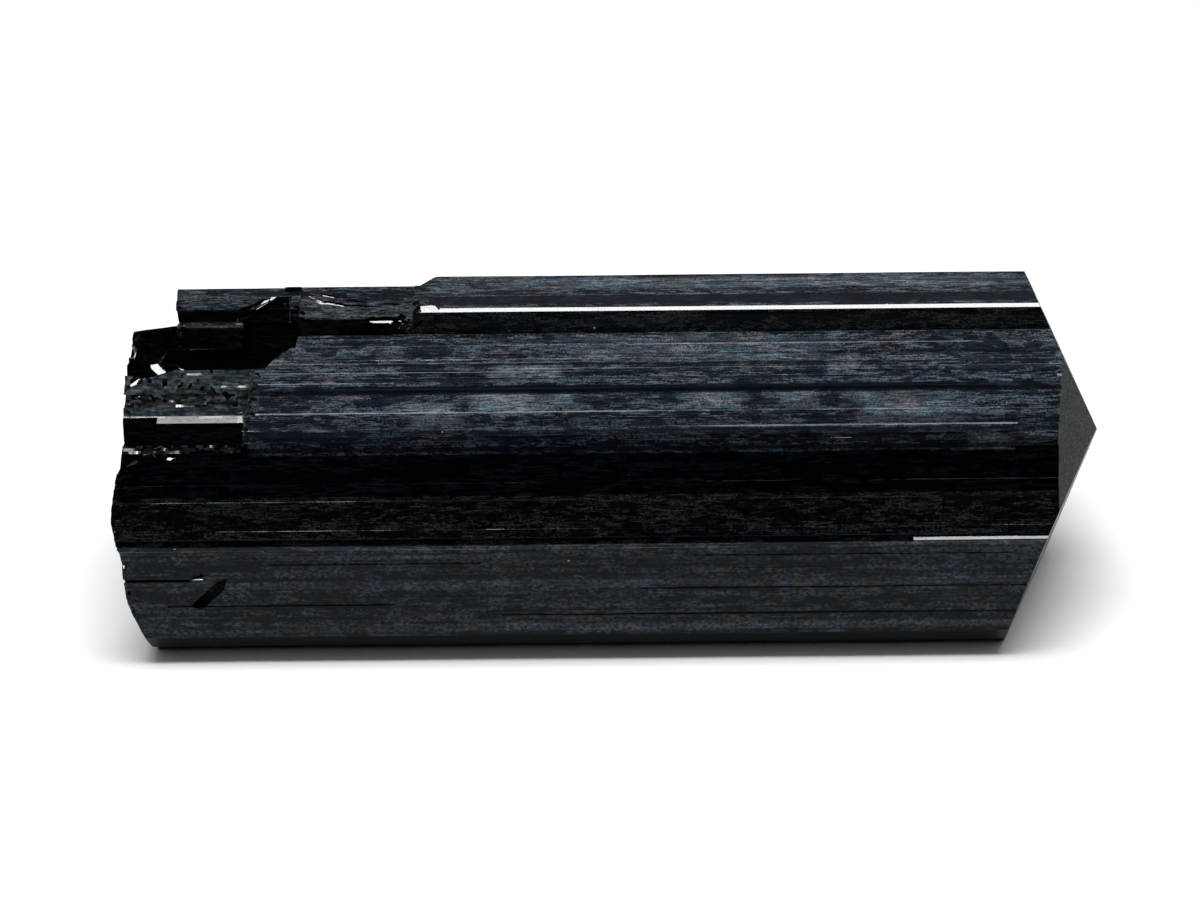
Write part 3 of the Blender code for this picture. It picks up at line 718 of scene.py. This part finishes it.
def add(tree, kind, inputs=(), **settings):
    """Adds a shader node: settings on the node itself, then for each input a value, an output or a
    node, which stands for its first output."""
    node = tree.nodes.new("ShaderNode" + kind)
    for name, value in settings.items():
        setattr(node, name, value)
    for socket, value in dict(inputs).items():
        if isinstance(value, bpy.types.Node):
            value = value.outputs[0]
        if isinstance(value, bpy.types.NodeSocket):
            tree.links.new(value, node.inputs[socket])
        else:
            node.inputs[socket].default_value = value
    return node


def section_place(tree, sizes):
    """Place in the crystal's own section: along, minus out, and up, in metres from its axis."""
    axis = (sizes.axis_x, sizes.axis_y, sizes.axis_height)
    place = add(tree, "TexCoord").outputs["Object"]
    turned = add(tree, "VectorRotate", {"Vector": place, "Center": axis, "Angle": SECTION_TURN},
                 rotation_type="X_AXIS")
    return add(tree, "VectorMath", {0: turned, 1: axis}, operation="SUBTRACT")


def stretched(tree, place, across, lengthwise, shift):
    """Place counted in grains of the given size in millimetres, across and along the crystal."""
    scale = (1000 / lengthwise, 1000 / across, 1000 / across)
    return add(tree, "Mapping", {"Vector": place, "Scale": scale, "Location": (shift, shift, shift)})


def streaks(tree, place, across, lengthwise, shift=0.0, detail=2.0):
    """Noise drawn out along the crystal: across and lengthwise are its sizes in millimetres."""
    grains = stretched(tree, place, across, lengthwise, shift)
    return add(tree, "TexNoise", {"Vector": grains, "Scale": 1.0, "Detail": detail,
                                            "Roughness": 0.6}).outputs["Fac"]


def blocks(tree, place, across, lengthwise, shift=0.0):
    """Two random values for each block of a boxy mosaic, as where growth layers end against each other."""
    grains = stretched(tree, place, across, lengthwise, shift)
    mosaic = add(tree, "TexVoronoi", {"Vector": grains, "Scale": 1.0}, distance="CHEBYCHEV")
    return add(tree, "SeparateColor", {0: mosaic.outputs["Color"]}).outputs[:2]


def spread(tree, value, low, high, to_low=0.0, to_high=1.0):
    """Value from low to high, smoothly, onto another range."""
    ranges = {"Value": value, "From Min": low, "From Max": high, "To Min": to_low, "To Max": to_high}
    return add(tree, "MapRange", ranges, interpolation_type="SMOOTHSTEP").outputs[0]


def weighed(tree, parts):
    """Sum of values, each times its weight."""
    total = 0.0
    for value, weight in parts:
        total = add(tree, "Math", {0: value, 1: weight, 2: total}, operation="MULTIPLY_ADD")
    return total


def spots(tree, place, ragged, spread_out):
    """Boxes, each of its own half length and half height. A ragged value moves their edges in and out."""
    total = 0.0
    for along, up, half_length, half_height, strength in spread_out:
        away = add(tree, "VectorMath", {0: place, 1: (along * MM, 0, up * MM)}, operation="SUBTRACT")
        counted = (1 / half_length / MM, 0, 1 / half_height / MM)
        scaled = add(tree, "VectorMath", {0: away, 1: counted}, operation="MULTIPLY")
        sides = add(tree, "VectorMath", {0: scaled}, operation="ABSOLUTE")
        side = add(tree, "SeparateXYZ", {0: sides}).outputs
        boxy = add(tree, "Math", {0: side[0], 1: side[2]}, operation="MAXIMUM")
        reach = weighed(tree, [(boxy, 1.0), (ragged, 0.5), (-0.25, 1.0)])
        box = spread(tree, reach, 0.6, 1.15, strength, 0.0)
        total = add(tree, "Math", {0: box, 1: total}, operation="MAXIMUM")
    return total


def tinted(tree, factor, first, second):
    """Mix of two colours, or of colour sockets, by a factor from 0 to 1."""
    mix = add(tree, "Mix", {0: factor}, data_type="RGBA")
    for socket, tone in ((mix.inputs[6], first), (mix.inputs[7], second)):
        if isinstance(tone, bpy.types.NodeSocket):
            tree.links.new(tone, socket)
        else:
            socket.default_value = (*tone, 1)
    return mix.outputs[2]


def stone(name, sizes, low, high, other, rough, specular, grain=0.09, thread=0.5, even=0.3, bump=0.3,
          boxy=1.0, contrast=0.1, haze_spots_and_shade_bands=False):
    """Principled stone, from a low colour to a high and another high one, over a roughness range.

    What chooses between low and high is a broad pattern times a fine one. The broad one adds
    patches, long layers and boxy mosaics of two sizes; even is its least value. The fine one
    adds hair lines, by the share thread, and a mottle of the given grain in millimetres; both
    also lift the surface. Here and there a pale grain of dust lies on it.
    """
    material = bpy.data.materials.new(name)
    material.use_nodes = True
    tree = material.node_tree
    shader = tree.nodes["Principled BSDF"]
    shader.inputs["IOR"].default_value = TOURMALINE_IOR
    shader.inputs["Specular IOR Level"].default_value = specular
    place = section_place(tree, sizes)
    hair = streaks(tree, place, 0.06, 0.9, 7.0)
    mottle = streaks(tree, place, grain, grain * 1.4, 5.0)
    large, hue = blocks(tree, place, 0.42, 1.9)
    small, shimmer = blocks(tree, place, 0.16, 0.55, 3.0)
    patches = streaks(tree, place, 0.9, 1.6)
    layers = streaks(tree, place, 0.25, 12, 3.0)
    broad = spread(tree, weighed(tree, [(patches, 0.5 - 0.35 * boxy), (layers, 0.5 - 0.15 * boxy),
                                        (large, 0.25 * boxy), (small, 0.25 * boxy)]), 0.43, 0.60, even, 1.0)
    both = weighed(tree, [(hair, thread), (mottle, 1 - thread)])
    fine = spread(tree, both, 0.51 - contrast, 0.51 + contrast)
    mask = add(tree, "Math", {0: broad, 1: fine}, operation="MULTIPLY")
    if haze_spots_and_shade_bands:
        lifted = add(tree, "Math", {0: fine, 1: 0.3}, operation="ADD")
        haze = spots(tree, place, small, HAZE_SPOTS)
        haze = add(tree, "Math", {0: haze, 1: lifted}, operation="MULTIPLY")
        # darker bands: partly painted shade, along the grooves and steps and over the plate's lower part
        dark = spots(tree, place, patches, SHADE_AND_DARK_BANDS)
        unbanded = add(tree, "Math", {0: 1.0, 1: dark}, operation="SUBTRACT")
        both = weighed(tree, [(mask, 0.5), (haze, 0.5)])
        mask = add(tree, "Math", {0: both, 1: unbanded}, operation="MULTIPLY")
    dust = add(tree, "TexVoronoi", {"Vector": stretched(tree, place, 3.0, 4.0, 0.5), "Scale": 1.0})
    speck = spread(tree, dust.outputs["Distance"], 0.012, 0.022, 1.0, 0.0)
    drift = spread(tree, streaks(tree, place, 0.8, 1.3, 9.0), 0.42, 0.58)
    tone = weighed(tree, [(hue, 0.5 * boxy), (shimmer, 0.3 * boxy), (drift, 1.0 - 0.8 * boxy)])
    shade = tinted(tree, speck, tinted(tree, mask, low, tinted(tree, tone, high, other)), DUST)
    tree.links.new(shade, shader.inputs["Base Color"])
    tree.links.new(spread(tree, mask, 0, 1, *rough), shader.inputs["Roughness"])
    relief = weighed(tree, [(hair, 0.6 * thread), (mottle, 0.4 * (1 - thread))])
    raised = add(tree, "Bump", {"Height": relief, "Strength": bump, "Distance": 0.00005})
    tree.links.new(raised.outputs[0], shader.inputs["Normal"])
    return material


def finishes(finish, sizes):
    """Materials in the order of the face kinds. The colours are scaled to how dense the etching is,
    and the specular level to how much of the face is still a polished growth surface. The bulge's
    darker haze is painted shade, and so are the darker bands along grooves and steps."""
    tones = ("body", "haze", "cool", "dull", "warm", "point", "fresh", "rubble")
    body, haze, cool, dull, warm, point, fresh, rubble = (Vector(getattr(finish, tone)) for tone in tones)
    return [
        # untouched growth face of black tourmaline: mirrors the dark room, so nearly black
        stone("glassy_tourmaline", sizes, body * 0.05, body * 0.6, cool * 0.04, (0.06, 0.2), 0.17,
              thread=0.7, even=0.0),
        # narrow striated faces: grey in the light from above, with lines along them
        stone("striated_tourmaline", sizes, body * 0.6, haze * 1.9, cool * 1.6, (0.14, 0.4), 0.08,
              thread=0.6, even=0.1, bump=1.0, haze_spots_and_shade_bands=True),
        # etched front plate: blocks and streaks of pale haze over dark glass
        stone("hazed_tourmaline", sizes, body * 0.8, haze * 2.0, cool * 2.1, (0.16, 0.4), 0.11, grain=0.07,
              even=0.15, bump=0.4, haze_spots_and_shade_bands=True),
        # the plate's bulge: the same haze, its colour painted darker as shade where the face turns away from
        # the lamp
        stone("shade_darkened_haze_tourmaline", sizes, body * 0.3, haze * 0.5, cool * 0.4, (0.14, 0.3), 0.18,
              even=0.1, haze_spots_and_shade_bands=True),
        # lightly etched plate and wall: dark, with a faint web
        stone("faintly_etched_tourmaline", sizes, body * 0.1, haze * 0.16, cool * 0.10, (0.14, 0.3), 0.25,
              even=0.1),
        # matt growth skin of the lower face: soft grey mottle, no reflections
        stone("matt_tourmaline", sizes, dull * 0.15, dull * 2.8, warm * 2.4, (0.3, 0.45), 0.04, grain=0.16,
              thread=0.1, even=0.15, bump=0.8, boxy=0.4, contrast=0.19, haze_spots_and_shade_bands=True),
        # naturally etched end faces: even, finely pitted and satin
        stone("etched_tourmaline", sizes, point * 0.1, point, point * 0.75, (0.35, 0.5), 0.15, grain=0.12,
              thread=0.0, even=0.45, bump=1.3, boxy=0.2),
        # fresh shell-shaped break: the brightest glass of the piece
        stone("broken_tourmaline", sizes, body * 0.3, fresh, cool * 0.08, (0.06, 0.2), 0.5, grain=0.3,
              thread=0.2),
        # crumbled columns: many small cracks scatter the light
        stone("crumbled_tourmaline", sizes, rubble * 0.1, rubble * 2.0, cool * 1.4, (0.15, 0.4), 0.3,
              grain=0.25, bump=0.5, haze_spots_and_shade_bands=True),
        # chipped shelf: old break, half dulled
        stone("chipped_tourmaline", sizes, body * 0.4, cool * 0.6, haze * 0.5, (0.15, 0.45), 0.07, grain=0.12,
              thread=0.6, even=0.1, bump=0.7),
        # small flat facets and growth steps that mirror the lamp
        stone("mirror_tourmaline", sizes, body * 0.5, haze * 0.3, haze * 0.2, (0.05, 0.14), 0.42, bump=0.1),
    ]


# ---- operators

class CRYSTAL_OT_crystal(bpy.types.Operator):
    """Build the crystal: the striated prism, carved by the end faces and the break"""
    bl_idname = "mesh.tourmaline_crystal"
    bl_label = "Tourmaline Crystal"

    def execute(self, context):
        sizes = context.scene.crystal_sizes
        dice = np.random.default_rng(sizes.seed)
        crystal = prism(sizes, dice)
        carve(crystal, point_cutters(sizes, dice) + ledge_cutters(sizes, dice) + block_cutters(sizes, dice)
              + break_cutters(sizes, dice) + chip_cutters(dice))
        drop_crumbs(crystal.data)
        crystal.data.materials.clear()
        for material in finishes(context.scene.crystal_finish, sizes):
            crystal.data.materials.append(material)
        sort_faces(crystal.data)
        place_in_world(crystal, sizes)
        crystal.data.shade_smooth()
        crystal.data.set_sharp_from_angle(angle=math.radians(12))
        crystal.name = crystal.data.name = "striated_crystal"
        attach(crystal, "root")
        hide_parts("tourmaline_crystal")
        return {"FINISHED"}


class CRYSTAL_OT_stage(bpy.types.Operator):
    """Set the pale table, the overhead strip lamp, the soft surroundings and the camera"""
    bl_idname = "scene.tourmaline_stage"
    bl_label = "Crystal Stage"

    def execute(self, context):
        stage = context.scene.crystal_stage
        make_floor(stage)
        make_lights(stage)
        make_world(context.scene)
        make_camera(context.scene, stage, context.scene.crystal_sizes)
        context.scene.view_settings.view_transform = "Standard"
        return {"FINISHED"}


def make_floor(stage):
    """Plain matt white card."""
    half = 1.5
    mesh = bpy.data.meshes.new("table")
    corners = [(-half, -half, 0), (half, -half, 0), (half, half, 0), (-half, half, 0)]
    mesh.from_pydata(corners, [], [(0, 1, 2, 3)])
    material = bpy.data.materials.new("white_card")
    material.use_nodes = True
    shader = material.node_tree.nodes["Principled BSDF"]
    shader.inputs["Base Color"].default_value = (*stage.floor, 1)
    shader.inputs["Roughness"].default_value = 0.8
    shader.inputs["Specular IOR Level"].default_value = 0.1
    mesh.materials.append(material)
    table = placed("table", mesh)


def make_lights(stage):
    """One strip lamp over the crystal, along it."""
    lamp = bpy.data.lights.new("overhead_strip", "AREA")
    lamp.shape = "RECTANGLE"
    lamp.size, lamp.size_y, lamp.energy = stage.strip_long, stage.strip_wide, stage.strip_power
    placed("overhead_strip", lamp).location = (0, 0, stage.strip_height)


def make_world(scene):
    """Soft room: dark low down towards the viewer, pale above and behind, and white where it is seen."""
    world = bpy.data.worlds.new("soft_room")
    world.use_nodes = True
    tree = world.node_tree
    way = add(tree, "SeparateXYZ", {0: add(tree, "TexCoord").outputs["Generated"]})
    high = spread(tree, way.outputs[2], 0.54, 0.75)
    behind = spread(tree, way.outputs[1], -0.35, 0.25)
    pale = add(tree, "Math", {0: high, 1: behind}, operation="MAXIMUM")
    glow = spread(tree, pale, 0, 1, 0.008, 0.38)
    seen = add(tree, "LightPath").outputs["Is Camera Ray"]
    strength = add(tree, "Math", {0: glow, 1: seen}, operation="MAXIMUM")
    background = tree.nodes["Background"]
    background.inputs["Color"].default_value = (0.93, 0.97, 1.0, 1)
    tree.links.new(strength.outputs[0], background.inputs["Strength"])
    scene.world = world


def make_camera(scene, stage, sizes):
    """Camera square to the front face; the crystal's axis crosses the frame a little above its middle."""
    focal, axis_row, middle_row, middle_along = 1988.0, 433.7, 450.0, -1.18
    rise, turn = stage.elevation, stage.roll
    view = Vector((0, math.cos(rise), -math.sin(rise)))
    square, along = Vector((0, math.sin(rise), math.cos(rise))), Vector((1, 0, 0))
    right = along * math.cos(turn) - square * math.sin(turn)
    up = square * math.cos(turn) + along * math.sin(turn)
    axis = Vector((middle_along * MM + sizes.axis_x, sizes.axis_y, sizes.axis_height))
    lens = bpy.data.cameras.new("camera")
    lens.sensor_width = 36.0
    lens.lens = lens.sensor_width * focal / PICTURE_WIDTH
    lens.clip_start, lens.clip_end = 0.005, 10
    place = Matrix((right, up, -view)).transposed().to_4x4()
    place.translation = axis - view * stage.distance - up * ((middle_row - axis_row) / focal * stage.distance)
    scene.camera = placed("camera", lens)
    scene.camera.matrix_world = place


class CRYSTAL_PT_panel(bpy.types.Panel):
    """Sizes, finish and stage of the crystal"""
    bl_label = "Tourmaline Crystal"
    bl_space_type = "VIEW_3D"
    bl_region_type = "UI"
    bl_category = "Crystal"

    def draw(self, context):
        for group in ("crystal_sizes", "crystal_finish", "crystal_stage"):
            box = self.layout.box()
            settings = getattr(context.scene, group)
            for name in settings.bl_rna.properties.keys():
                if name not in ("rna_type", "name"):
                    box.prop(settings, name)
        self.layout.operator(CRYSTAL_OT_crystal.bl_idname)
        self.layout.operator(CRYSTAL_OT_stage.bl_idname)


CLASSES = (CrystalSizes, CrystalFinish, StageSettings, CRYSTAL_OT_crystal, CRYSTAL_OT_stage, CRYSTAL_PT_panel)
GROUPS = {"crystal_sizes": CrystalSizes, "crystal_finish": CrystalFinish, "crystal_stage": StageSettings}


def register():
    for known in CLASSES:
        bpy.utils.register_class(known)
    for name, group in GROUPS.items():
        setattr(bpy.types.Scene, name, bpy.props.PointerProperty(type=group))


def unregister():
    for name in GROUPS:
        delattr(bpy.types.Scene, name)
    for known in reversed(CLASSES):
        bpy.utils.unregister_class(known)


def main():
    register()
    bpy.ops.mesh.tourmaline_crystal()
    bpy.ops.scene.tourmaline_stage()


if __name__ == "__main__":
    main()
